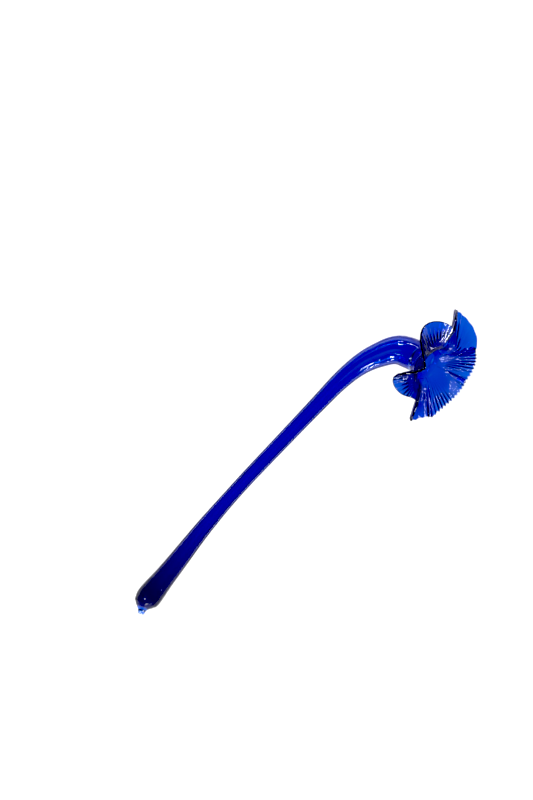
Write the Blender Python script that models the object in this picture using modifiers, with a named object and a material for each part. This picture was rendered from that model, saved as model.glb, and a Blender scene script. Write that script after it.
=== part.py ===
"""A long-stemmed flower of hand-blown cobalt glass, lying on its side, as Blender solids.

The stem is a drawn, hollow tube that ends in a thick-walled bulb, closed by a small pinched-off tip. At
its other end it turns over into a throat, which opens like a trumpet, and six ribbed petals stand round
the throat's lip. Lengths are in millimetres, and MM turns them into Blender's metres. +Z is up, +X runs
along the stem towards the flower, and the table is Z = 0.
"""

import math

import bmesh
import bpy
from mathutils import Matrix, Vector
from mathutils.geometry import interpolate_bezier

MM = 0.001

# --- frame -----------------------------------------------------------------------------------------
# The lengths below are measured from the tip's flat end. This point of them becomes the origin, which
# stands on the table under the middle of the whole flower.
ORIGIN = Vector((204.2, -28.0, 0.0))

GAP = 0.3  # what neighbouring solids keep between them

# --- flower ----------------------------------------------------------------------------------------
FLOWER_CENTRE = Vector((353.9, -36.5, 26.6))
FLOWER_YAW = 5.0    # degrees that the flower looks round from -Y towards +X
FLOWER_RISE = 35.0  # degrees that it looks up from the table

SHEET = 2.2         # thickness of the glass at the lip
NECK_RADIUS = 14.0  # the middle of the glass in the throat's neck
LIP_RADIUS = 16.0   # and at the lip, where the petals begin
LIP_SPREAD = 38.0   # degrees between the glass and the flower's axis, at the lip
FLARE_RINGS = 5     # rings of the mesh from the neck to the lip
RIB_PITCH = 5.2     # degrees between two ribs
TURN_WIDTH = 10.0   # length of sheet in which it turns from the lip's direction to its final spread
PROFILE_STEPS = 30  # short straight runs that make up a petal's line from the lip
PETAL_ROWS = 14     # rows of the mesh from the lip to the rim

# Each petal runs between two directions round the flower's axis, in degrees from its +X side and over
# its top. Its spread is the angle between glass and axis beyond the turn, its length runs from the lip
# to the rim, and its turn is how far from the lip the sheet turns over. The three are given at the
# petal's first edge, at its crest and at its last edge. The crest lies at a part of its width, and a
# sharp crest falls off faster to the sides. The ribs' height and the sheet's thickness are given at the
# lip, half way out and at the rim, and a tooth is how far a rib reaches past the grooves beside it.
PETALS = {
    "petal_top": dict(
        start=26, end=97, crest=0.47, sharp=1.2,
        spread=(72, 104, 42), length=(33, 45, 34), turn=(8, 14, 15),
        ribs=(0.4, 0.6, 0.2), tooth=0.0, thick=(2.2, 2.6, 1.8),
    ),
    "petal_left": dict(
        start=97, end=184, crest=0.39, sharp=3.4,
        spread=(42, 104, 62), length=(34, 37.5, 22.5), turn=(15, 13, 8),
        ribs=(0.3, 0.9, 0.9), tooth=0.4, thick=(2.2, 2.6, 1.8),
    ),
    "petal_low_left": dict(
        start=184, end=225, crest=0.46, sharp=4.0,
        spread=(62, 82, 66), length=(22.5, 42, 38.5), turn=(8, 6, 5),
        ribs=(0.0, 0.4, 0.9), tooth=1.0, thick=(2.2, 3.2, 2.4),
    ),
    "petal_low": dict(
        start=225, end=285, crest=0.5, sharp=0.5,
        spread=(66, 60, 50), length=(38.5, 33, 30), turn=(5, 5, 5),
        ribs=(0.0, 0.3, 1.4), tooth=1.6, thick=(2.2, 2.2, 2.0),
    ),
    "petal_right": dict(
        start=285, end=335, crest=0.5, sharp=0.6,
        spread=(50, 60, 62), length=(30, 34, 32), turn=(5, 5, 5),
        ribs=(0.0, 0.9, 1.4), tooth=1.6, thick=(2.2, 2.2, 2.0),
    ),
    "petal_tall": dict(
        start=335, end=386, crest=0.55, sharp=0.76,
        spread=(62, 128, 72), length=(32, 53, 33), turn=(24, 16, 8),
        ribs=(0.0, 0.9, 0.7), tooth=0.3, thick=(2.2, 2.2, 1.8),
    ),
}

# --- stem and throat -------------------------------------------------------------------------------
# The line through the middle of tip, stem and throat. It lies near the table at the bulb and at the
# bend, and then climbs to the flower.
ROUTE = [
    (-1.2, 0.4, 12.0),
    (7.2, 4.2, 12.0),
    (16.0, 5.8, 12.0),
    (54.0, 8.7, 11.8),
    (100.0, 12.5, 11.4),
    (150.0, 14.2, 11.3),
    (205.0, 13.9, 11.2),
    (255.0, 13.3, 10.9),
    (287.0, 12.6, 10.5),
    (311.0, 9.2, 10.3),
    (329.8, 2.3, 12.2),
    (345.0, -7.6, 14.8),
]
LAST_RUN = (-14.0, -7.0, 0.0, 12.0)  # it ends straight, at these distances past the flower's centre
ROUTE_STEPS = 6  # short straight runs from one of the points to the next

# Distances along the route, from the tip's flat end: where each piece starts, and the radius of the
# glass there.
TIP = [(0.0, 2.5), (0.6, 3.1), (1.8, 3.3), (3.2, 3.7), (4.8, 4.6), (6.3, 5.9)]
STEM_END = 352.0

# The tube's outer radius and wall at distances along the route. The glass is thickest in the bulb and
# thins out towards the flower, where it was blown widest.
TUBE = [
    (6.6, 6.2, 3.6),
    (8.4, 8.1, 4.0),
    (10.8, 9.9, 4.2),
    (14.2, 11.4, 4.3),
    (19.0, 12.0, 4.2),
    (27.0, 11.6, 3.9),
    (41.0, 10.4, 3.3),
    (71.0, 9.1, 2.6),
    (101.0, 8.0, 2.1),
    (146.0, 7.0, 1.8),
    (221.0, 7.4, 1.7),
    (267.0, 8.1, 1.6),
    (297.0, 9.2, 1.5),
    (313.0, 10.2, 1.4),
    (328.0, 11.5, 1.4),
    (344.0, 13.1, 1.4),
    (360.0, 14.8, 1.6),
    (378.0, 15.1, 2.2),
]
BEND_START = 285.0
STRAIGHT_PITCH = 20.0  # distance between the tube's rings before the bend
BEND_PITCH = 6.5       # and in it
TUBE_SEGMENTS = 28     # flats round the tube

# --- colours ---------------------------------------------------------------------------------------
TIP_GLASS = "#5A6BD2"
STEM_GLASS = "#0015A1"
THROAT_GLASS = "#0A2DC5"
PETAL_GLASS = "#0C3FBB"


# --- lines and tables ------------------------------------------------------------------------------
def smooth_curve(points, steps):
    """Points on a smooth line through the given ones (Catmull-Rom, by Bezier pieces)."""
    points = [Vector(p) for p in points]
    ends = [2 * points[0] - points[1], *points, 2 * points[-1] - points[-2]]
    line = [points[0]]
    for before, a, b, after in zip(ends, ends[1:], ends[2:], ends[3:]):
        handle_a = a + (b - before) / 6
        handle_b = b - (after - a) / 6
        line += interpolate_bezier(a, handle_a, handle_b, b, steps + 1)[1:]
    return line


def ease(u):
    """0 to 1 with a level start and end."""
    return u * u * (3 - 2 * u)


def mix(a, b, u):
    return a + (b - a) * u


def flower_axes():
    """The flower's axis, its +X side and its top, as unit vectors."""
    yaw = math.radians(FLOWER_YAW)
    rise = math.radians(FLOWER_RISE)
    side = Vector((math.cos(yaw), math.sin(yaw), 0))
    ahead = Vector((math.sin(yaw), -math.cos(yaw), 0))
    axis = ahead * math.cos(rise) + Vector((0, 0, math.sin(rise)))
    return axis, side, axis.cross(side)


def route_line():
    """The centreline of stem and throat, on past the flower's centre."""
    axis = flower_axes()[0]
    return smooth_curve([*ROUTE, *[FLOWER_CENTRE + axis * d for d in LAST_RUN]], ROUTE_STEPS)


def length_of(line):
    return sum((b - a).length for a, b in zip(line, line[1:]))


def tube_section(distance):
    """Outer and inner radius of the tube at a distance along the route."""
    for (d0, outer0, wall0), (d1, outer1, wall1) in zip(TUBE, TUBE[1:]):
        if distance <= d1:
            u = (distance - d0) / (d1 - d0)
            return mix(outer0, outer1, u), mix(outer0 - wall0, outer1 - wall1, u)
    return TUBE[-1][1], TUBE[-1][1] - TUBE[-1][2]


def stations(start, end):
    """Distances along the tube: the table's own, with more between them, most in the bend."""
    marks = [start] + [row[0] for row in TUBE if start < row[0] < end] + [end]
    result = [start]
    for a, b in zip(marks, marks[1:]):
        count = max(1, round((b - a) / (BEND_PITCH if a > BEND_START else STRAIGHT_PITCH)))
        result += [mix(a, b, (i + 1) / count) for i in range(count)]
    return result


# --- building blocks -------------------------------------------------------------------------------
def clear_scene():
    for old in list(bpy.data.objects):
        bpy.data.objects.remove(old, do_unlink=True)


def collection(name):
    made = bpy.data.collections.new(name)
    bpy.context.scene.collection.children.link(made)
    return made


def linear(code):
    """A colour code such as #0015A1 as Blender's linear colour."""
    steps = [int(code[i:i + 2], 16) / 255 for i in (1, 3, 5)]
    return (*[s / 12.92 if s <= 0.04045 else ((s + 0.055) / 1.055) ** 2.4 for s in steps], 1)


def glass(name, code):
    colour = linear(code)
    material = bpy.data.materials.new(name)
    material.use_nodes = True
    shader = material.node_tree.nodes["Principled BSDF"]
    shader.inputs["Base Color"].default_value = colour
    shader.inputs["Roughness"].default_value = 0.04
    shader.inputs["Metallic"].default_value = 0.0
    shader.inputs["IOR"].default_value = 1.5
    material.diffuse_color = colour
    return material


def add_object(name, data, into, parent, material=None):
    obj = bpy.data.objects.new(name, data)
    into.objects.link(obj)
    obj.parent = parent
    if material:
        data.materials.append(material)
    return obj


def turned(name, profile, closed, into, parent, material):
    """A solid of revolution about Z from (radius, height) points that run down its outer side."""
    mesh = bpy.data.meshes.new(name)
    corners = [(radius * MM, 0, height * MM) for radius, height in profile]
    edges = [(i, i + 1) for i in range(len(corners) - 1)]
    if closed:
        edges.append((len(corners) - 1, 0))
    mesh.from_pydata(corners, edges, [])
    obj = add_object(name, mesh, into, parent, material)
    screw = obj.modifiers.new("turn", "SCREW")
    screw.axis = "Z"
    screw.steps = screw.render_steps = TUBE_SEGMENTS
    screw.use_merge_vertices = True
    screw.merge_threshold = 1e-5
    screw.use_smooth_shade = True
    return obj


def follow(obj, guide):
    bend = obj.modifiers.new("bend", "CURVE")
    bend.object = guide
    bend.deform_axis = "POS_Z"


# --- the sub-parts ---------------------------------------------------------------------------------
def make_guide(into, parent):
    """The route as a curve that stem and throat are bent along."""
    curve = bpy.data.curves.new("route", "CURVE")
    curve.dimensions = "3D"
    curve.twist_mode = "MINIMUM"
    spline = curve.splines.new("POLY")
    line = route_line()
    spline.points.add(len(line) - 1)
    for point, place in zip(spline.points, line):
        point.co = (*(place * MM), 1)
    guide = add_object("route", curve, into, parent)
    guide.hide_render = True
    guide.display_type = "WIRE"
    return guide


def make_stem(into, parent, guide):
    """The hollow stem with its bulb, open at both ends of its bore."""
    marks = stations(TUBE[0][0], STEM_END)
    outside = [(tube_section(d)[0], d) for d in reversed(marks)]
    inside = [(tube_section(d)[1], d) for d in marks]
    obj = turned("stem", outside + inside, True, into, parent, glass("stem glass", STEM_GLASS))
    follow(obj, guide)


def make_throat(into, parent, guide):
    """The trumpet between stem and petals: a neck, and a flare that takes up the petals' direction."""
    spread = math.radians(LIP_SPREAD)
    radius = (LIP_RADIUS - NECK_RADIUS) / (1 - math.cos(spread))
    neck_end = length_of(route_line()) - LAST_RUN[-1] - radius * math.sin(spread)
    marks = stations(STEM_END + GAP, neck_end)[:-1]
    outside = [(tube_section(d)[0], d) for d in marks]
    inside = [(tube_section(d)[1], d) for d in marks]
    for i in range(FLARE_RINGS):
        angle = spread * i / (FLARE_RINGS - 1)
        across = NECK_RADIUS + radius * (1 - math.cos(angle))
        along = neck_end + radius * math.sin(angle)
        half = (math.cos(angle) * SHEET / 2, math.sin(angle) * SHEET / 2)
        outside.append((across + half[0], along - half[1]))
        inside.append((across - half[0], along + half[1]))
    obj = turned("throat", outside[::-1] + inside, True, into, parent, glass("throat glass", THROAT_GLASS))
    follow(obj, guide)


def petal_shape(petal, u):
    """The petal's spread, length and turn, a part u of the way across it."""
    bump = 0
    if 0 < u < 1:
        bump = math.sin(math.pi * u ** (math.log(0.5) / math.log(petal["crest"]))) ** petal["sharp"]
    shape = []
    for first, crest, last in (petal["spread"], petal["length"], petal["turn"]):
        shape.append(mix(mix(first, last, ease(u)), crest, bump))
    return shape


def petal_point(petal, u, distance):
    """A point of the petal's middle surface: u across it, and a distance from the lip along it."""
    axis, side, top = flower_axes()
    spread, _, turn = petal_shape(petal, u)
    radius, height = LIP_RADIUS, 0
    step = distance / PROFILE_STEPS
    for i in range(PROFILE_STEPS):
        turned_by = ease(min(1, max(0, (step * (i + 0.5) - turn) / TURN_WIDTH + 0.5)))
        angle = math.radians(mix(LIP_SPREAD, spread, turned_by))
        radius += step * math.sin(angle)
        height += step * math.cos(angle)
    direction = math.radians(mix(petal["start"], petal["end"], u))
    out = side * math.cos(direction) + top * math.sin(direction)
    return FLOWER_CENTRE + out * radius + axis * height


def petal_normal(petal, u, distance):
    """The front of the petal's surface, from points of its own a little way off."""
    low, high = max(0, u - 0.01), min(1, u + 0.01)
    across = petal_point(petal, high, distance) - petal_point(petal, low, distance)
    along = petal_point(petal, u, distance + 0.2) - petal_point(petal, u, distance - 0.2)
    return across.cross(along).normalized()


def sheet_normal(petal, u, distance):
    """As petal_normal, but at an edge it is shared with the petal that meets it there."""
    normal = petal_normal(petal, u, distance)
    for other in PETALS.values():
        if u == 0 and other["end"] % 360 == petal["start"] % 360:
            normal += petal_normal(other, 1, distance)
        if u == 1 and other["start"] % 360 == petal["end"] % 360:
            normal += petal_normal(other, 0, distance)
    return normal.normalized()


def lip_to_rim(sizes, growth):
    """A size given at the lip, half way out and at the rim, at a part of that way."""
    lip, middle, rim = sizes
    if growth < 0.5:
        return mix(lip, middle, ease(2 * growth))
    return mix(middle, rim, ease(2 * growth - 1))


def petal_vertex(petal, place, ribs):
    """Where a point of the flat unit slab comes to lie: x across, y along, z through the sheet."""
    across, along, side = place
    edge = across < 1e-4 or across > 1 - 1e-4
    u = round(across) if edge else across
    length = petal_shape(petal, u)[1]
    distance = mix(GAP, length, along)
    growth = distance / length
    normal = sheet_normal(petal, u, distance)
    radius = (petal_point(petal, u, distance) - FLOWER_CENTRE).length
    inset = GAP / 2 / (math.radians(petal["end"] - petal["start"]) * radius)
    point = petal_point(petal, mix(inset, 1 - inset, u), distance)
    if not edge:
        crown = 1 if round(across * 2 * ribs) % 2 else -1
        outward = (petal_point(petal, u, distance) - petal_point(petal, u, distance - 0.2)).normalized()
        point -= normal * (crown * lip_to_rim(petal["ribs"], growth) / 2)
        point += outward * (crown * petal["tooth"] / 2 * growth ** 4)
    return (point + normal * ((side - 0.5) * lip_to_rim(petal["thick"], growth))) * MM


def make_petal(name, petal, into, parent):
    """A ribbed sheet: a flat unit slab, two columns to a rib, that is bent onto the petal."""
    ribs = round((petal["end"] - petal["start"]) / RIB_PITCH)
    form = bmesh.new()
    unit = Matrix.Translation((0.5, 0.5, 0))
    bmesh.ops.create_grid(form, x_segments=2 * ribs, y_segments=PETAL_ROWS, size=0.5, matrix=unit)
    grown = bmesh.ops.extrude_face_region(form, geom=form.faces[:], use_keep_orig=True)
    upper = [item for item in grown["geom"] if isinstance(item, bmesh.types.BMVert)]
    bmesh.ops.translate(form, verts=upper, vec=(0, 0, 1))
    bmesh.ops.recalc_face_normals(form, faces=form.faces[:])
    for vert in form.verts:
        vert.co = petal_vertex(petal, vert.co.copy(), ribs)
    mesh = bpy.data.meshes.new(name)
    form.to_mesh(mesh)
    form.free()
    mesh.shade_smooth()
    mesh.set_sharp_from_angle(angle=math.radians(60))
    add_object(name, mesh, into, parent, glass(name.replace("_", " ") + " glass", PETAL_GLASS))


def make_tip(into, parent, guide):
    """The pinched-off end of the glass that closes the stem, with a flat, ground face."""
    profile = [(radius, distance) for distance, radius in reversed(TIP)]
    profile = [(0.0, TIP[-1][0]), *profile, (0.0, TIP[0][0])]
    obj = turned("tip", profile, False, into, parent, glass("tip glass", TIP_GLASS))
    follow(obj, guide)


# --- assembly --------------------------------------------------------------------------------------
def build():
    clear_scene()
    parts = collection("glass_flower")
    guides = collection("guides")
    place = bpy.data.objects.new("place", None)
    parts.objects.link(place)
    place.location = ORIGIN * -MM

    guide = make_guide(guides, place)
    make_tip(parts, place, guide)
    make_stem(parts, place, guide)
    make_throat(parts, place, guide)
    for name, petal in PETALS.items():
        make_petal(name, petal, parts, place)


build()
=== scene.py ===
# %% [markdown]
# # A long-stemmed flower of cobalt glass
# A glassblower makes this flower in one heat: a bubble of blue glass is drawn out to a long stem, bent
# over at its end and opened into a ribbed trumpet, whose edge is pulled and folded into petals. The
# looks are built here round the measured frame, piece by piece, in metres. The lengths in the tables
# are millimetres, and MM turns them into metres.

# %% The frame and its box
import math

import bpy
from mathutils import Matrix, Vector
from mathutils.geometry import interpolate_bezier


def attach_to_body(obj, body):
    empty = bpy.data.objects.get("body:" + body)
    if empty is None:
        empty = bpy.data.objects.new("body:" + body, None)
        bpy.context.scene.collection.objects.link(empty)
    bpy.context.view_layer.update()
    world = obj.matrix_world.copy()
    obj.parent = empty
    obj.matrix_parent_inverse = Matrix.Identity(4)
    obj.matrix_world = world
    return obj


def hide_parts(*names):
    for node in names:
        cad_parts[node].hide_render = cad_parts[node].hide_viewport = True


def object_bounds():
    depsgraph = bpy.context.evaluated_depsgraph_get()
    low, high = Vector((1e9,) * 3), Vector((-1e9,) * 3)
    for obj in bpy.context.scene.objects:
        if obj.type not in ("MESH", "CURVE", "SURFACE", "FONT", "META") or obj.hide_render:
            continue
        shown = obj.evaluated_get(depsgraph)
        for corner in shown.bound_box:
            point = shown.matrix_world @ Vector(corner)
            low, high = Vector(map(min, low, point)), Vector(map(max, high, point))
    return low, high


MM = 0.001
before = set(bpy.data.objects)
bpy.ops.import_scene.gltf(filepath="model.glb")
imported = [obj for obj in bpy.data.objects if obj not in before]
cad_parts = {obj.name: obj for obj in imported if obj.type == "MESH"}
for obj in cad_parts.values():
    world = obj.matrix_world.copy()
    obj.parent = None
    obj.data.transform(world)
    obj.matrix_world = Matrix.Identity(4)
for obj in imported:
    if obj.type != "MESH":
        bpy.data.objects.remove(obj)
frame_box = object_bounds()
print("frame box, mm:", [[round(c / MM, 1) for c in corner] for corner in frame_box])

# %% [markdown]
# ## Two small helpers
# Every node tree below, of shapes and of finishes, is written with one function. It adds a node, sets
# its settings, and fills its sockets: another node's socket is linked, and anything else is typed in.
# The second function turns a colour code, as a paint program shows it, into Blender's linear colour.


# %% Helpers for nodes and colours
def put(tree, kind, sockets=(), **settings):
    """Adds a node. The sockets are (name or number, value or other socket) pairs."""
    node = tree.nodes.new(kind)
    for name, value in settings.items():
        setattr(node, name, value)
    for name, value in sockets:
        if isinstance(value, bpy.types.NodeSocket):
            tree.links.new(value, node.inputs[name])
        else:
            node.inputs[name].default_value = value
    return node


def linear(code):
    steps = [int(code[i : i + 2], 16) / 255 for i in (1, 3, 5)]
    return (*[s / 12.92 if s <= 0.04045 else ((s + 0.055) / 1.055) ** 2.4 for s in steps], 1)


# %% [markdown]
# ## The glass
# Cobalt glass is ordinary soda-lime glass with a little cobalt oxide melted in. Its surface has no
# colour of its own. The colour lies in the depth: green and red are swallowed on the way through, so a
# thin petal is a bright blue and the thick bulb is nearly black. That is made with a clear, smooth
# Principled surface (IOR 1.5) and a Volume Absorption inside it, and not with a painted base colour,
# because only the depth makes the folds and double walls darker. Blown glass also has slow waves, and
# fine lines along the way in which it was drawn. Both are bumps, too shallow to change the outline.
# Real lines lie under a millimetre apart and wouldn't show, so they are drawn a few times coarser.


# %% Glass as a finish
TINT = "#60B5F0"  # what a layer of the glass lets through, red to blue
LINE_STRETCH = 0.03  # a drawn line is about 30 times as long as it is wide


def cobalt_glass(name, density, wave_mm, wave_depth, line_mm, line_depth):
    """Clear soda-lime glass with absorption, slow waves, and lines along the drawn direction."""
    material = bpy.data.materials.new(name)
    material.use_nodes = True
    tree = material.node_tree
    shader = tree.nodes["Principled BSDF"]
    for socket, value in (
        ("Base Color", (1, 1, 1, 1)),
        ("Roughness", 0.0),
        ("IOR", 1.5),
        ("Transmission Weight", 1.0),
    ):
        shader.inputs[socket].default_value = value
    place = put(tree, "ShaderNodeTexCoord").outputs["Object"]
    waves = put(
        tree,
        "ShaderNodeTexNoise",
        [("Vector", place), ("Scale", 1 / (wave_mm * MM)), ("Detail", 1.0)],
    ).outputs["Fac"]
    drawn = put(tree, "ShaderNodeAttribute", attribute_name="drawn").outputs["Vector"]
    stretched = put(
        tree, "ShaderNodeMapping", [("Vector", drawn), ("Scale", (1, 1, LINE_STRETCH))]
    ).outputs["Vector"]
    lines = put(
        tree,
        "ShaderNodeTexNoise",
        [("Vector", stretched), ("Scale", 1 / (line_mm * MM)), ("Detail", 2.0)],
    ).outputs["Fac"]
    slow = put(
        tree,
        "ShaderNodeBump",
        [("Height", waves), ("Distance", wave_depth * MM), ("Strength", 1.0)],
    ).outputs["Normal"]
    fine = put(
        tree,
        "ShaderNodeBump",
        [("Height", lines), ("Distance", line_depth * MM), ("Strength", 1.0), ("Normal", slow)],
    ).outputs["Normal"]
    tree.links.new(fine, shader.inputs["Normal"])
    colour = linear(TINT)
    inside = put(tree, "ShaderNodeVolumeAbsorption", [("Color", colour), ("Density", density)])
    tree.links.new(inside.outputs["Volume"], tree.nodes["Material Output"].inputs["Volume"])
    print(f"{name}: absorption {density:.0f} per metre")
    return material


# %% [markdown]
# ## Four finishes of one glass
# The whole flower is one melt, so stem, throat and petals share one density of colour, and only their
# walls make them lighter or darker. What differs is how the hot surface was worked. Each row below gives
# the density, then the width and depth of the slow waves, then of the drawn lines, in millimetres.

# %% The finishes
DENSITY = 2150.0
FINISH = {
    # Pinched off with jacks: short lumps that catch small highlights. It is the palest glass, stretched
    # until the colour is thin.
    "tip_glass": cobalt_glass("cobalt_glass_pinched", 400.0, 6, 0.20, 1.5, 0.02),
    # Drawn out by swinging: long, soft streaks that run with the stem.
    "stem_glass": cobalt_glass("cobalt_glass_drawn", DENSITY, 30, 0.15, 4.0, 0.20),
    # Blown and opened: the streaks go on, over a slightly more uneven wall.
    "throat_glass": cobalt_glass("cobalt_glass_blown", DENSITY, 25, 0.15, 4.0, 0.20),
    # Pressed in a ribbed mould and pulled: fine lines between the ribs, which break up the reflections.
    "petal_glass": cobalt_glass("cobalt_glass_ribbed", DENSITY, 15, 0.15, 2.0, 0.10),
}

# %% [markdown]
# ## The route of the stem
# Tip, stem and throat are one drawn tube, which runs nearly straight and then turns over into the
# flower. Its middle line is a smooth curve through a few measured points. It could be drawn by hand as
# a Bezier curve, but points keep the stem on the frame's own line. All lengths start at the tip's flat
# end, and HOME moves that point to its place in the frame.

# %% The middle line
HOME = Vector((-204.2, 28.0, 0.0))
FLOWER_CENTRE = Vector((353.9, -36.5, 26.6))
FLOWER_YAW = 5.0    # degrees that the flower looks round from -Y towards +X
FLOWER_RISE = 35.0  # degrees that it looks up
ROUTE = [
    (-1.2, 0.4, 12.0),
    (7.2, 4.2, 12.0),
    (16.0, 5.8, 12.0),
    (54.0, 8.7, 11.8),
    (100.0, 12.5, 11.4),
    (150.0, 14.2, 11.3),
    (205.0, 13.9, 11.2),
    (255.0, 13.3, 10.9),
    (287.0, 12.6, 10.5),
    (311.0, 9.2, 10.3),
    (329.8, 2.3, 12.2),
    (345.0, -7.6, 14.8),
]
LAST_RUN = (-14.0, -7.0, 0.0, 12.0)  # the line's last, straight points, past the flower's centre
CURVE_STEPS = 16  # short straight runs from one of the points to the next


def mix(a, b, u):
    return a + (b - a) * u


def ease(u):
    return u * u * (3 - 2 * u)


def flower_axes():
    """The flower's axis, its +X side and its top."""
    yaw, rise = math.radians(FLOWER_YAW), math.radians(FLOWER_RISE)
    side = Vector((math.cos(yaw), math.sin(yaw), 0))
    ahead = Vector((math.sin(yaw), -math.cos(yaw), 0))
    axis = ahead * math.cos(rise) + Vector((0, 0, math.sin(rise)))
    return axis, side, axis.cross(side)


def smooth_curve(points, steps):
    points = [Vector(p) for p in points]
    ends = [2 * points[0] - points[1], *points, 2 * points[-1] - points[-2]]
    line = [points[0]]
    for before, a, b, after in zip(ends, ends[1:], ends[2:], ends[3:]):
        line += interpolate_bezier(a, a + (b - before) / 6, b - (after - a) / 6, b, steps + 1)[1:]
    return line


axis = flower_axes()[0]
route = smooth_curve([*ROUTE, *[FLOWER_CENTRE + axis * d for d in LAST_RUN]], CURVE_STEPS)
route_length = sum((b - a).length for a, b in zip(route, route[1:]))
curve = bpy.data.curves.new("middle_line", "CURVE")
curve.dimensions = "3D"
spline = curve.splines.new("POLY")
spline.points.add(len(route) - 1)
for point, spot in zip(spline.points, route):
    point.co = (*((spot + HOME) * MM), 1)
middle_line = bpy.data.objects.new("middle_line", curve)
bpy.context.scene.collection.objects.link(middle_line)
print(f"middle line: {len(route)} points, {route_length:.1f} mm long")

# %% [markdown]
# ## Glass drawn along the route
# A drawn tube is a profile turned round a line, where the line itself bends. A lathe (Screw) and a
# Curve modifier would do it, but a Geometry Nodes tree does both at once and adds the shallow flutes
# that the ribbed mould left in the stem. The tree lays out a flat grid: one way it counts the points of
# the profile, the other way it goes round. Each grid point looks up its radius and its distance in the
# profile, finds that distance on the middle line, and moves out from there.


# %% The tube tree
def socket_in(tree, name, kind, value=None):
    socket = tree.interface.new_socket(name, in_out="INPUT", socket_type="NodeSocket" + kind)
    if value is not None:
        socket.default_value = value
    return socket.identifier


tube = bpy.data.node_groups.new("glass_on_a_route", "GeometryNodeTree")
tube_inputs = {
    "profile": socket_in(tube, "Profile", "Geometry"),
    "route": socket_in(tube, "Route", "Object"),
    "loop": socket_in(tube, "Profile is a loop", "Int", 1),
    "segments": socket_in(tube, "Segments round", "Int", 96),
    "flutes": socket_in(tube, "Flutes", "Int", 12),
    "depth": socket_in(tube, "Flute depth", "Float", 0.0),
    "material": socket_in(tube, "Glass", "Material"),
}
tube.interface.new_socket("Geometry", in_out="OUTPUT", socket_type="NodeSocketGeometry")


def maths(tree, operation, *values):
    sockets = list(enumerate(values))
    return put(tree, "ShaderNodeMath", sockets, operation=operation).outputs[0]


def vector_maths(tree, operation, first, second):
    other = "Scale" if operation == "SCALE" else 1
    sockets = [(0, first), (other, second)]
    return put(tree, "ShaderNodeVectorMath", sockets, operation=operation).outputs[0]


def fill_tube_tree(tree):
    given = put(tree, "NodeGroupInput").outputs
    size = put(tree, "GeometryNodeAttributeDomainSize", [("Geometry", given["Profile"])])
    count = size.outputs["Point Count"]
    rows = maths(tree, "ADD", count, given["Profile is a loop"])
    rounds = maths(tree, "ADD", given["Segments round"], 1.0)
    grid = put(
        tree,
        "GeometryNodeMeshGrid",
        [("Size X", 1.0), ("Size Y", 1.0), ("Vertices X", rows), ("Vertices Y", rounds)],
    )
    spot = put(tree, "ShaderNodeSeparateXYZ", [(0, put(tree, "GeometryNodeInputPosition").outputs[0])])
    row = maths(tree, "ADD", spot.outputs[0], 0.5)
    row = maths(tree, "MULTIPLY", row, maths(tree, "SUBTRACT", rows, 1.0))
    row = maths(tree, "MODULO", maths(tree, "ROUND", row), count)
    turn = maths(tree, "MULTIPLY", maths(tree, "ADD", spot.outputs[1], 0.5), 2 * math.pi)

    position = put(tree, "GeometryNodeInputPosition").outputs[0]
    looked_up = put(
        tree,
        "GeometryNodeSampleIndex",
        [("Geometry", given["Profile"]), ("Value", position), ("Index", row)],
        data_type="FLOAT_VECTOR",
    ).outputs["Value"]
    profile = put(tree, "ShaderNodeSeparateXYZ", [(0, looked_up)]).outputs
    share = profile[1]
    dip = maths(tree, "COSINE", maths(tree, "MULTIPLY", turn, given["Flutes"]))
    dip = maths(tree, "MULTIPLY_ADD", dip, 0.5, 0.5)
    dip = maths(tree, "MULTIPLY", maths(tree, "MULTIPLY", dip, given["Flute depth"]), share)
    radius = maths(tree, "SUBTRACT", profile[0], dip)

    line = put(tree, "GeometryNodeObjectInfo", [("Object", given["Route"])]).outputs["Geometry"]
    on_line = put(
        tree, "GeometryNodeSampleCurve", [("Curves", line), ("Length", profile[2])], mode="LENGTH"
    ).outputs
    sideways = vector_maths(tree, "CROSS_PRODUCT", on_line["Tangent"], on_line["Normal"])
    right = maths(tree, "MULTIPLY", radius, maths(tree, "COSINE", turn))
    up = maths(tree, "MULTIPLY", radius, maths(tree, "SINE", turn))
    out = vector_maths(
        tree,
        "ADD",
        vector_maths(tree, "SCALE", on_line["Normal"], right),
        vector_maths(tree, "SCALE", sideways, up),
    )
    place = vector_maths(tree, "ADD", on_line["Position"], out)
    drawn = put(tree, "ShaderNodeCombineXYZ", [(0, right), (1, up), (2, profile[2])]).outputs[0]
    kept = put(
        tree,
        "GeometryNodeStoreNamedAttribute",
        [("Geometry", grid.outputs["Mesh"]), ("Name", "drawn"), ("Value", drawn)],
        data_type="FLOAT_VECTOR",
        domain="POINT",
    ).outputs[0]
    laid = put(tree, "GeometryNodeSetPosition", [("Geometry", kept), ("Position", place)]).outputs[0]
    welded = put(
        tree, "GeometryNodeMergeByDistance", [("Geometry", laid), ("Distance", 2e-6)]
    ).outputs[0]
    smooth = put(tree, "GeometryNodeSetShadeSmooth", [("Geometry", welded)]).outputs[0]
    real = put(tree, "GeometryNodeRealizeInstances", [("Geometry", smooth)]).outputs[0]
    coated = put(tree, "GeometryNodeSetMaterial", [("Geometry", real), ("Material", given["Glass"])])
    put(tree, "NodeGroupOutput", [(0, coated.outputs[0])])


fill_tube_tree(tube)


# %% [markdown]
# ## From a tree to a plain mesh
# The finished piece has to stand on its own, without its modifier, so that it can be exported. The
# evaluated object is copied into a new mesh. Its volume tells whether the faces look outwards: a mesh
# turned inside out has a negative one.


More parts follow.
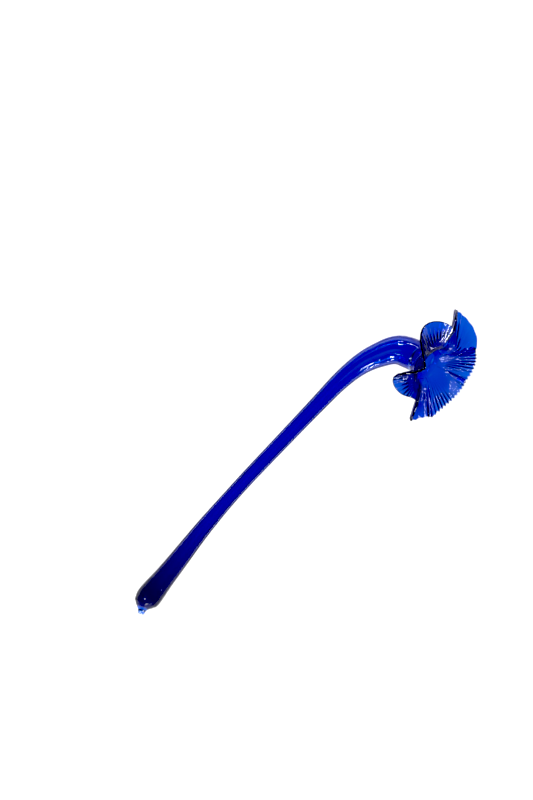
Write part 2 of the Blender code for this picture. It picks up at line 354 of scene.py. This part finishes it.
# %% Baking a tree into a piece
def bake(name, base, tree, inputs, sharp=50):
    """Runs the tree on the base mesh and returns the result as a plain object."""
    carrier = bpy.data.objects.new(name + "_base", base)
    bpy.context.scene.collection.objects.link(carrier)
    modifier = carrier.modifiers.new(tree.name, "NODES")
    modifier.node_group = tree
    for identifier, value in inputs:
        modifier[identifier] = value
    depsgraph = bpy.context.evaluated_depsgraph_get()
    mesh = bpy.data.meshes.new_from_object(carrier.evaluated_get(depsgraph))
    bpy.data.objects.remove(carrier)
    mesh.name = name
    mesh.set_sharp_from_angle(angle=math.radians(sharp))
    volume = signed_volume(mesh)
    if volume < 0:
        mesh.flip_normals()
    piece = bpy.data.objects.new(name, mesh)
    bpy.context.scene.collection.objects.link(piece)
    print(f"{name}: {len(mesh.polygons)} faces, {volume * 1e6:.2f} ml of glass")
    return piece


def signed_volume(mesh):
    total = 0.0
    for face in mesh.polygons:
        corners = [mesh.vertices[i].co for i in face.vertices]
        for b, c in zip(corners[1:], corners[2:]):
            total += corners[0].dot(b.cross(c)) / 6
    return total


def attach(piece, node):
    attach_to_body(piece, "root")
    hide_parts(node)


# %% [markdown]
# ## The stem
# The stem is a hollow tube. It is thick in the bulb, where the gather of glass was, and thin at the
# flower. The table gives its outer radius and its wall, and the smooth curve through the table takes
# out the corners that a straight line from row to row would leave. The flutes are on the outside only,
# so the wall is thinner in each of them, and they show as lighter streaks more than as a shape.

# %% Stem
TUBE = [  # distance from the tip, outer radius, wall
    (6.6, 6.2, 3.6),
    (8.4, 8.1, 4.0),
    (10.8, 9.9, 4.2),
    (14.2, 11.4, 4.3),
    (19.0, 12.0, 4.2),
    (27.0, 11.6, 3.9),
    (41.0, 10.4, 3.3),
    (71.0, 9.1, 2.6),
    (101.0, 8.0, 2.1),
    (146.0, 7.0, 1.8),
    (221.0, 7.4, 1.7),
    (267.0, 8.1, 1.6),
    (297.0, 9.2, 1.5),
    (313.0, 10.2, 1.4),
    (328.0, 11.5, 1.4),
    (344.0, 13.1, 1.4),
    (360.0, 14.8, 1.6),
    (378.0, 15.1, 2.2),
]
BULB_END = 41.0
STEM_END = 352.0
SEGMENTS = 96  # faces round the tube
FLUTES = 12
FLUTE_DEPTH = 0.35  # what the mould left in the outside of the wall
JOINT = 0.03  # what the pieces keep between them where the real glass runs through
tube_line = smooth_curve(TUBE, 8)


def tube_section(distance):
    """Outer and inner radius of the tube at a distance."""
    for a, b in zip(tube_line, tube_line[1:]):
        if distance <= b[0]:
            u = (distance - a[0]) / (b[0] - a[0])
            outer, wall = mix(a[1], b[1], u), mix(a[2], b[2], u)
            return outer, outer - wall
    return tube_line[-1][1], tube_line[-1][1] - tube_line[-1][2]


def profile_mesh(name, points):
    """A chain of points: radius, share of the flutes, distance."""
    mesh = bpy.data.meshes.new(name)
    corners = [(radius * MM, share, distance * MM) for radius, share, distance in points]
    mesh.from_pydata(corners, [(i, i + 1) for i in range(len(corners) - 1)], [])
    return mesh


def flute_share(distance):
    """The flutes fade in after the bulb."""
    return ease(min(1, max(0, (distance - 30) / 60)))


def make_tube(name, points, loop, glass, depth=0.0):
    inputs = [
        (tube_inputs["route"], middle_line),
        (tube_inputs["loop"], int(loop)),
        (tube_inputs["segments"], SEGMENTS),
        (tube_inputs["flutes"], FLUTES),
        (tube_inputs["depth"], depth * MM),
        (tube_inputs["material"], glass),
    ]
    return bake(name, profile_mesh(name + "_profile", points), tube, inputs)


def between(start, end, pitch):
    count = max(1, round((end - start) / pitch))
    return [mix(start, end, i / count) for i in range(count + 1)]


in_bulb = [p[0] for p in tube_line if TUBE[0][0] < p[0] < BULB_END]
marks = sorted({TUBE[0][0], *in_bulb, *between(BULB_END, STEM_END, 1.5)})
stem_out = [(tube_section(d)[0], flute_share(d), d) for d in marks]
stem_in = [(tube_section(d)[1], 0, d) for d in reversed(marks)]
stem = make_tube("drawn_stem", stem_out + stem_in, True, FINISH["stem_glass"], FLUTE_DEPTH)
attach(stem, "stem")

# %% [markdown]
# ## The tip
# Where the glass was cracked off and pinched, a small pale nub closes the bulb. It could be a sphere
# pulled into shape, but it has to bend with the stem's line. So it is a solid of the same tree: a chain
# of points that starts and ends on the middle line, which is why it isn't a loop.

# %% Tip
TIP = [(0.0, 2.5), (0.6, 3.1), (1.8, 3.3), (3.2, 3.7), (4.8, 4.6), (6.3, 5.9)]
tip_line = smooth_curve([(d, r, 0) for d, r in TIP[1:]], 6)
end_radius, joint_radius, joint = TIP[0][1], TUBE[0][1] - 0.05, TUBE[0][0] - JOINT
tip_points = [(0, 0, 0), (end_radius * 0.92, 0, 0), (end_radius, 0, 0.08)]
tip_points += [(p[1], 0, p[0]) for p in tip_line]
tip_points += [(joint_radius, 0, joint), (0, 0, joint)]
tip = make_tube("pinched_tip", tip_points, False, FINISH["tip_glass"])
attach(tip, "tip")

# %% [markdown]
# ## The throat
# The throat carries the tube on, turns up and flares to the lip, where the petals start. The flare is
# an arc in section: the glass leaves the neck along the axis and reaches the lip at LIP_SPREAD degrees.
# A lathe could make it, but its lower half has to follow the bend, so the same tree makes it too, and
# its flutes fade out before the flare.

# %% Throat
SHEET = 2.2         # thickness of the glass at the lip
NECK_RADIUS = 14.0  # the middle of the glass in the neck
LIP_RADIUS = 16.0   # and at the lip, where the petals begin
LIP_SPREAD = 38.0
FLARE_STEPS = 12
spread = math.radians(LIP_SPREAD)
flare = (LIP_RADIUS - NECK_RADIUS) / (1 - math.cos(spread))
neck_end = route_length - LAST_RUN[-1] - flare * math.sin(spread)
marks = between(STEM_END + JOINT, neck_end, 1.2)[:-1]
neck = neck_end - marks[0]
throat_out = [(tube_section(d)[0], 1 - ease((d - marks[0]) / neck), d) for d in marks]
throat_in = [(tube_section(d)[1], 0, d) for d in marks]
for i in range(FLARE_STEPS + 1):
    angle = spread * i / FLARE_STEPS
    across = NECK_RADIUS + flare * (1 - math.cos(angle))
    along = neck_end + flare * math.sin(angle)
    half = (math.cos(angle) * SHEET / 2, math.sin(angle) * SHEET / 2)
    throat_out.append((across + half[0], 0, along - half[1]))
    throat_in.append((across - half[0], 0, along + half[1]))
throat_points = throat_out + throat_in[::-1]
throat = make_tube("trumpet_throat", throat_points, True, FINISH["throat_glass"], FLUTE_DEPTH)
attach(throat, "throat")

# %% [markdown]
# ## The petals
# The trumpet's edge was pulled out into a thin sheet and folded into six petals, all covered in fine
# ribs. A petal could be sculpted, but its shape follows a rule: at each direction round the flower the
# sheet leaves the lip, turns over and runs straight out, with its own spread and length. So Python lays
# the smooth middle surface as a grid, and stores on each point which way is forward and outward, how
# far across and along it lies. A Geometry Nodes tree then raises the ribs and gives the sheet its
# thickness, with a rim rounded as fire polishing leaves it.

# %% Petal shapes
RIB_PITCH = 5.2      # degrees between two ribs
TURN_WIDTH = 10.0    # length of sheet in which it turns over
COLUMNS_PER_RIB = 12
LINE_STEP = 0.5      # longest straight run in a petal's line from the lip
ROW_PITCH = 0.8      # distance between the mesh's rows from the lip to the rim
RIM_ANGLES = (15, 30, 45, 60, 75, 90)  # where the last rows lie on the round of the rim
LINES_PITCH = 1.6    # width of glass from rib to rib, over which the drawn lines are laid
# Degrees round the flower, then spread, length and turn at the first edge, the crest and the last edge.
# The ribs' height is given at the lip, half way out and at the rim, and a tooth is what a rib's crown
# reaches past the rim's grooves.
PETALS = {
    "petal_top": dict(
        start=26, end=97, crest=0.47, sharp=1.2,
        spread=(72, 104, 42), length=(33, 45, 34), turn=(8, 14, 15),
        ribs=(0.4, 0.6, 0.2), tooth=0.0, thick=(2.2, 2.6, 1.8),
    ),
    "petal_left": dict(
        start=97, end=184, crest=0.39, sharp=3.4,
        spread=(42, 104, 62), length=(34, 37.5, 22.5), turn=(15, 13, 8),
        ribs=(0.3, 0.9, 0.9), tooth=0.4, thick=(2.2, 2.6, 1.8),
    ),
    "petal_low_left": dict(
        start=184, end=225, crest=0.46, sharp=4.0,
        spread=(62, 82, 66), length=(22.5, 42, 38.5), turn=(8, 6, 5),
        ribs=(0.0, 0.4, 0.9), tooth=1.0, thick=(2.2, 3.2, 2.4),
    ),
    "petal_low": dict(
        start=225, end=285, crest=0.5, sharp=0.5,
        spread=(66, 60, 50), length=(38.5, 33, 30), turn=(5, 5, 5),
        ribs=(0.0, 0.3, 1.4), tooth=1.6, thick=(2.2, 2.2, 2.0),
    ),
    "petal_right": dict(
        start=285, end=335, crest=0.5, sharp=0.6,
        spread=(50, 60, 62), length=(30, 34, 32), turn=(5, 5, 5),
        ribs=(0.0, 0.9, 1.4), tooth=1.6, thick=(2.2, 2.2, 2.0),
    ),
    "petal_tall": dict(
        start=335, end=386, crest=0.55, sharp=0.76,
        spread=(62, 128, 72), length=(32, 53, 33), turn=(24, 16, 8),
        ribs=(0.0, 0.9, 0.7), tooth=0.3, thick=(2.2, 2.2, 1.8),
    ),
}


def petal_shape(petal, u):
    """Spread, length and turn, a part u of the way across the petal."""
    bump = 0
    if 0 < u < 1:
        bump = math.sin(math.pi * u ** (math.log(0.5) / math.log(petal["crest"]))) ** petal["sharp"]
    sizes = petal["spread"], petal["length"], petal["turn"]
    return [mix(mix(first, last, ease(u)), crest, bump) for first, crest, last in sizes]


def petal_line(petal, u, distances):
    """Points of the middle surface at growing distances from the lip, in one direction."""
    axis, side, top = flower_axes()
    spread, _, turn = petal_shape(petal, u)
    direction = math.radians(mix(petal["start"], petal["end"], u))
    out = side * math.cos(direction) + top * math.sin(direction)
    radius, height, done, points = LIP_RADIUS, 0.0, 0.0, []
    for distance in distances:
        steps = max(1, math.ceil(abs(distance - done) / LINE_STEP))
        step = (distance - done) / steps
        for i in range(steps):
            turned_by = ease(min(1, max(0, (done + step * (i + 0.5) - turn) / TURN_WIDTH + 0.5)))
            angle = math.radians(mix(LIP_SPREAD, spread, turned_by))
            radius += step * math.sin(angle)
            height += step * math.cos(angle)
        done = distance
        points.append(FLOWER_CENTRE + out * radius + axis * height)
    return points


def fronts(petal, u, distances):
    """The direction that the sheet's front looks in, at the same points."""
    low = petal_line(petal, max(0, u - 0.01), distances)
    high = petal_line(petal, min(1, u + 0.01), distances)
    here = petal_line(petal, u, distances)
    ahead = petal_line(petal, u, [d + 0.3 for d in distances])
    return [(h - l).cross(f - p).normalized() for l, h, p, f in zip(low, high, here, ahead)]


def shared_fronts(petal, u, distances):
    """As fronts, but neighbours agree at the edge where they meet."""
    result = fronts(petal, u, distances)
    for other in PETALS.values():
        if u == 0 and other["end"] % 360 == petal["start"] % 360:
            result = [(a + b).normalized() for a, b in zip(result, fronts(other, 1, distances))]
        if u == 1 and other["start"] % 360 == petal["end"] % 360:
            result = [(a + b).normalized() for a, b in zip(result, fronts(other, 0, distances))]
    return result


def petal_sheet(name, petal):
    """The smooth middle surface as a mesh that carries what the tree needs."""
    ribs = round((petal["end"] - petal["start"]) / RIB_PITCH)
    columns = ribs * COLUMNS_PER_RIB
    longest = max(petal_shape(petal, c / columns)[1] for c in range(columns + 1))
    straight = round(longest / ROW_PITCH)
    count = straight + len(RIM_ANGLES)
    bend = petal["thick"][2] / 2
    spots, front, outward, numbers = [], [], [], []
    for column in range(columns + 1):
        u = column / columns
        length = petal_shape(petal, u)[1]
        rows = [mix(JOINT, length - bend, i / (straight - 1)) for i in range(straight)]
        rows += [length - bend + bend * math.sin(math.radians(a)) for a in RIM_ANGLES]
        normals = shared_fronts(petal, u, rows)
        points = petal_line(petal, u, rows)
        if column in (0, columns):
            inward = petal_line(petal, 0.01 if column == 0 else 0.99, rows)
            points = [p + (q - p).normalized() * JOINT / 2 for p, q in zip(points, inward)]
        ahead = petal_line(petal, u, [d + 0.3 for d in rows])
        for distance, point, normal, further in zip(rows, points, normals, ahead):
            spots.append((point + HOME) * MM)
            front.append(normal)
            outward.append((further - point).normalized())
            numbers.append((u * ribs, distance / length, (length - distance) * MM, distance * MM))
    faces = []
    for column in range(columns):
        for row in range(count - 1):
            a = column * count + row
            faces.append((a, a + count, a + count + 1, a + 1))
    mesh = bpy.data.meshes.new(name)
    mesh.from_pydata(spots, [], faces)
    for label, values in (("front", front), ("outward", outward)):
        stored = mesh.attributes.new(label, "FLOAT_VECTOR", "POINT")
        stored.data.foreach_set("vector", [c for v in values for c in v])
    for i, label in enumerate(("rib", "growth", "from_rim", "along")):
        stored = mesh.attributes.new(label, "FLOAT", "POINT")
        stored.data.foreach_set("value", [n[i] for n in numbers])
    return mesh, ribs


# %% [markdown]
# ## Ribs and thickness
# The ribs come from the mould that the bubble was blown into, and spread as the sheet was pulled out. A
# Wave or Displace modifier would run straight over the folds. This tree moves each point along the
# directions stored on it instead, so the ribs follow the petal, and the crowns reach past the rim as
# teeth. Then the sheet grows into a slab whose half thickness falls off as a quarter circle at the rim.

# %% The petal tree
petal_tree = bpy.data.node_groups.new("ribbed_petal", "GeometryNodeTree")
petal_inputs = {
    "sheet": socket_in(petal_tree, "Sheet", "Geometry"),
    "ribs": socket_in(petal_tree, "Ribs", "Int", 16),
    "lip": socket_in(petal_tree, "Rib height at the lip", "Float", 0.0),
    "middle": socket_in(petal_tree, "Rib height half way", "Float", 0.5 * MM),
    "rim": socket_in(petal_tree, "Rib height at the rim", "Float", 1.0 * MM),
    "tooth": socket_in(petal_tree, "Rim tooth", "Float", 1.0 * MM),
    "thick_lip": socket_in(petal_tree, "Thickness at the lip", "Float", SHEET * MM),
    "thick_middle": socket_in(petal_tree, "Thickness half way", "Float", SHEET * MM),
    "thick_rim": socket_in(petal_tree, "Thickness at the rim", "Float", SHEET * MM),
    "material": socket_in(petal_tree, "Glass", "Material"),
}
petal_tree.interface.new_socket("Geometry", in_out="OUTPUT", socket_type="NodeSocketGeometry")


def stored(tree, name, kind="FLOAT"):
    node = put(tree, "GeometryNodeInputNamedAttribute", [("Name", name)], data_type=kind)
    return node.outputs["Attribute"]


def from_lip_to_rim(tree, growth, given, what):
    """A size that eases from its value at the lip to the one half way, and on to the one at the rim."""
    middle, sized = given[what + " half way"], []
    rest = maths(tree, "SUBTRACT", given[what + " at the rim"], middle)
    for start, first, last in ((0.0, given[what + " at the lip"], middle), (0.5, 0.0, rest)):
        sockets = [
            ("Value", growth),
            ("From Min", start),
            ("From Max", start + 0.5),
            ("To Min", first),
            ("To Max", last),
        ]
        ease_over = put(tree, "ShaderNodeMapRange", sockets, interpolation_type="SMOOTHSTEP")
        sized.append(ease_over.outputs["Result"])
    return maths(tree, "ADD", *sized)


def fill_petal_tree(tree):
    given = put(tree, "NodeGroupInput").outputs
    rib, growth = stored(tree, "rib"), stored(tree, "growth")
    front = stored(tree, "front", "FLOAT_VECTOR")
    outward = stored(tree, "outward", "FLOAT_VECTOR")

    # The ribs are a wave across the petal. It fades at the two edges, where neighbours meet.
    wave = maths(tree, "COSINE", maths(tree, "MULTIPLY", rib, 2 * math.pi))
    wave = maths(tree, "MULTIPLY", wave, -1.0)
    to_edge = maths(tree, "MINIMUM", rib, maths(tree, "SUBTRACT", given["Ribs"], rib))
    fade = put(
        tree,
        "ShaderNodeMapRange",
        [("Value", to_edge), ("From Max", 0.5)],
        interpolation_type="SMOOTHSTEP",
    ).outputs["Result"]
    wave = maths(tree, "MULTIPLY", wave, fade)
    height = from_lip_to_rim(tree, growth, given, "Rib height")
    lift = maths(tree, "MULTIPLY", wave, maths(tree, "DIVIDE", height, -2.0))
    reach = maths(tree, "MULTIPLY", wave, maths(tree, "POWER", growth, 4.0))
    reach = maths(tree, "MULTIPLY", reach, maths(tree, "DIVIDE", given["Rim tooth"], 2.0))
    offset = vector_maths(
        tree,
        "ADD",
        vector_maths(tree, "SCALE", front, lift),
        vector_maths(tree, "SCALE", outward, reach),
    )
    ribbed = put(
        tree, "GeometryNodeSetPosition", [("Geometry", given["Sheet"]), ("Offset", offset)]
    ).outputs[0]

    # Half the thickness falls off as a quarter circle near the rim.
    half = maths(tree, "DIVIDE", from_lip_to_rim(tree, growth, given, "Thickness"), 2.0)
    inside = maths(tree, "DIVIDE", stored(tree, "from_rim"), half)
    inside = maths(tree, "SUBTRACT", 1.0, maths(tree, "MINIMUM", inside, 1.0))
    round_off = maths(tree, "SUBTRACT", 1.0, maths(tree, "MULTIPLY", inside, inside))
    half = maths(tree, "MULTIPLY", half, maths(tree, "SQRT", maths(tree, "MAXIMUM", round_off, 0.0)))
    to_back = vector_maths(tree, "SCALE", front, maths(tree, "MULTIPLY", half, -1.0))
    back = put(
        tree, "GeometryNodeSetPosition", [("Geometry", ribbed), ("Offset", to_back)]
    ).outputs[0]
    across = maths(tree, "MULTIPLY", half, 2.0)
    grown = put(
        tree,
        "GeometryNodeExtrudeMesh",
        [("Mesh", back), ("Offset", front), ("Offset Scale", across), ("Individual", False)],
        mode="FACES",
    )
    # The extruded front and a turned copy of the back close into one slab.
    turned = put(tree, "GeometryNodeFlipFaces", [("Mesh", back)]).outputs[0]
    join = put(tree, "GeometryNodeJoinGeometry")
    tree.links.new(turned, join.inputs[0])
    tree.links.new(grown.outputs["Mesh"], join.inputs[0])
    welded = put(
        tree, "GeometryNodeMergeByDistance", [("Geometry", join.outputs[0]), ("Distance", 2e-6)]
    ).outputs[0]
    sideways = maths(tree, "MULTIPLY", rib, LINES_PITCH * MM)
    drawn = put(
        tree, "ShaderNodeCombineXYZ", [(0, sideways), (1, 0.0), (2, stored(tree, "along"))]
    ).outputs[0]
    kept = put(
        tree,
        "GeometryNodeStoreNamedAttribute",
        [("Geometry", welded), ("Name", "drawn"), ("Value", drawn)],
        data_type="FLOAT_VECTOR",
        domain="POINT",
    ).outputs[0]
    smooth = put(tree, "GeometryNodeSetShadeSmooth", [("Geometry", kept)]).outputs[0]
    real = put(tree, "GeometryNodeRealizeInstances", [("Geometry", smooth)]).outputs[0]
    coated = put(tree, "GeometryNodeSetMaterial", [("Geometry", real), ("Material", given["Glass"])])
    put(tree, "NodeGroupOutput", [(0, coated.outputs[0])])


fill_petal_tree(petal_tree)

# %% [markdown]
# ## Six petals from one tree
# Every petal is the same tree with other sizes. The numbers go in by each input's identifier, because a
# modifier doesn't know its inputs by their names.

# %% Petals
for name, petal in PETALS.items():
    sheet, ribs = petal_sheet(name + "_sheet", petal)
    inputs = [
        (petal_inputs["ribs"], ribs),
        (petal_inputs["lip"], petal["ribs"][0] * MM),
        (petal_inputs["middle"], petal["ribs"][1] * MM),
        (petal_inputs["rim"], petal["ribs"][2] * MM),
        (petal_inputs["tooth"], petal["tooth"] * MM),
        (petal_inputs["thick_lip"], petal["thick"][0] * MM),
        (petal_inputs["thick_middle"], petal["thick"][1] * MM),
        (petal_inputs["thick_rim"], petal["thick"][2] * MM),
        (petal_inputs["material"], FINISH["petal_glass"]),
    ]
    piece = bake("ribbed_" + name, sheet, petal_tree, inputs)
    attach(piece, name)

bpy.data.objects.remove(middle_line)

# %% [markdown]
# ## The table
# Clear coloured glass is lit from behind. Here it lies on an opal light table, whose even white glow
# comes up through the glass. A glow could come from a lamp under a white sheet, but an emitting surface
# is even and quick. Its base colour is a mid grey, so that lamps and shadows hardly show on it.

# %% Table
low, high = frame_box
TABLE_REACH = 3.0
corners = [(x * TABLE_REACH, y * TABLE_REACH, low.z) for x, y in ((-1, -1), (1, -1), (1, 1), (-1, 1))]
floor_mesh = bpy.data.meshes.new("light_table")
floor_mesh.from_pydata(corners, [], [(0, 1, 2, 3)])
opal = bpy.data.materials.new("opal_acrylic")
opal.use_nodes = True
for socket, value in (
    ("Base Color", linear("#808080")),
    ("Roughness", 0.6),
    ("Emission Color", linear("#FFFFFF")),
    ("Emission Strength", 1.02),
):
    opal.node_tree.nodes["Principled BSDF"].inputs[socket].default_value = value
floor_mesh.materials.append(opal)
floor = bpy.data.objects.new("light_table", floor_mesh)
bpy.context.scene.collection.objects.link(floor)
print("table at", round(low.z / MM, 2), "mm")

# %% [markdown]
# ## The light
# Soft boxes give glass its small white highlights, and each is placed for one of them. The rest of the
# studio is dim overhead and brighter near the horizon, so that the glass mirrors little from above and
# its blue stays deep, while its steep edges catch a pale line.


# %% Light
def soft_box(name, place, size, power):
    lamp = bpy.data.lights.new(name, "AREA")
    lamp.shape = "RECTANGLE"
    lamp.size, lamp.size_y = size
    lamp.energy = power
    box = bpy.data.objects.new(name, lamp)
    box.location = place
    box.rotation_euler = (-Vector(place)).to_track_quat("-Z", "Y").to_euler()
    bpy.context.scene.collection.objects.link(box)


soft_box("soft_box_front", (0.5, -1.6, 0.9), (0.5, 0.3), 12)  # the low petals and their rims
soft_box("soft_box_left", (-1.2, 0.6, 1.4), (0.3, 0.5), 12)  # the bulb and the tip
soft_box("soft_box_low", (-1.1, -1.02, 0.45), (1.2, 0.12), 14)  # the streak inside the bend
soft_box("soft_box_petals", (-0.7, -1.33, 0.55), (0.5, 0.2), 9)  # the ribs of the right petal
soft_box("soft_box_right", (1.0, 0.9, 0.7), (0.8, 0.12), 10)  # the outer side of the bend

world = bpy.data.worlds.new("studio")
bpy.context.scene.world = world
world.use_nodes = True
tree = world.node_tree
look = put(tree, "ShaderNodeTexCoord").outputs["Generated"]
height = put(tree, "ShaderNodeSeparateXYZ", [(0, look)]).outputs["Z"]
ramp = put(
    tree,
    "ShaderNodeMapRange",
    [("Value", height), ("From Min", 0.0), ("From Max", 0.35), ("To Min", 0.6), ("To Max", 0.2)],
)
background = tree.nodes["Background"]
background.inputs["Color"].default_value = linear("#DCDEFF")
tree.links.new(ramp.outputs["Result"], background.inputs["Strength"])

# %% [markdown]
# ## The camera
# The camera looks straight down from far away with a long lens, so that the flower shows as in a plan.
# Its turn about Z lays the stem on a diagonal. The Standard view keeps the blues pure, where Blender's
# default view would grey them, and a raised black level makes the deepest glass as dark as it is in
# thick cobalt.

# %% Camera
DISTANCE = 8.0
HEIGHT_SEEN = 0.752
cam = bpy.data.cameras.new("camera")
cam.sensor_width = 36
cam.lens = cam.sensor_width * DISTANCE / HEIGHT_SEEN
cam.clip_end = 100
camera = bpy.data.objects.new("camera", cam)
camera.location = (0.022, 0.079, DISTANCE)
camera.rotation_euler = (0, 0, math.radians(-47))
bpy.context.scene.collection.objects.link(camera)
bpy.context.scene.camera = camera
settings = bpy.context.scene.view_settings
settings.view_transform = "Standard"
settings.use_curve_mapping = True
settings.curve_mapping.black_level = (0.05, 0.05, 0.05)
settings.curve_mapping.update()
print("lens, mm:", round(cam.lens))
